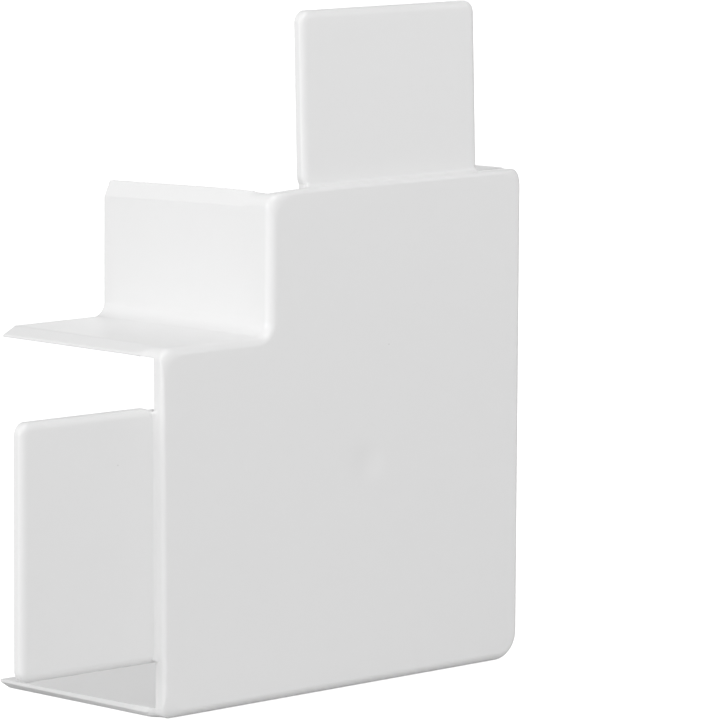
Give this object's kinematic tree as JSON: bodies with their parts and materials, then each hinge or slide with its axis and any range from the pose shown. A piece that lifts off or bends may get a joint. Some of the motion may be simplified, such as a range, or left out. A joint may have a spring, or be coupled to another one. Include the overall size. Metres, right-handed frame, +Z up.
{
  "type": "trunking flat angle",
  "caption": "White right-angle hood for surface cable trunking, open at the back and at its ends, with a flat tongue standing out of each end to go under the trunking's lid.",
  "frame": {"origin": "middle of the hood's underside, the outer face of the lower arm's bottom wall, tongues left out", "axes": "+Z up, along the upper arm and out of its mouth; -X out of the lower arm's mouth; +Y from the front plate to the open back, which goes against the wall"},
  "size_m": [0.1176, 0.041, 0.1176],
  "materials": {
    "white_plastic": "semi-gloss moulded plastic with a very fine satin grain"
  },
  "bodies": {
    "root": {"flat_angle_cover": "white_plastic"}
  },
  "joints": []
}
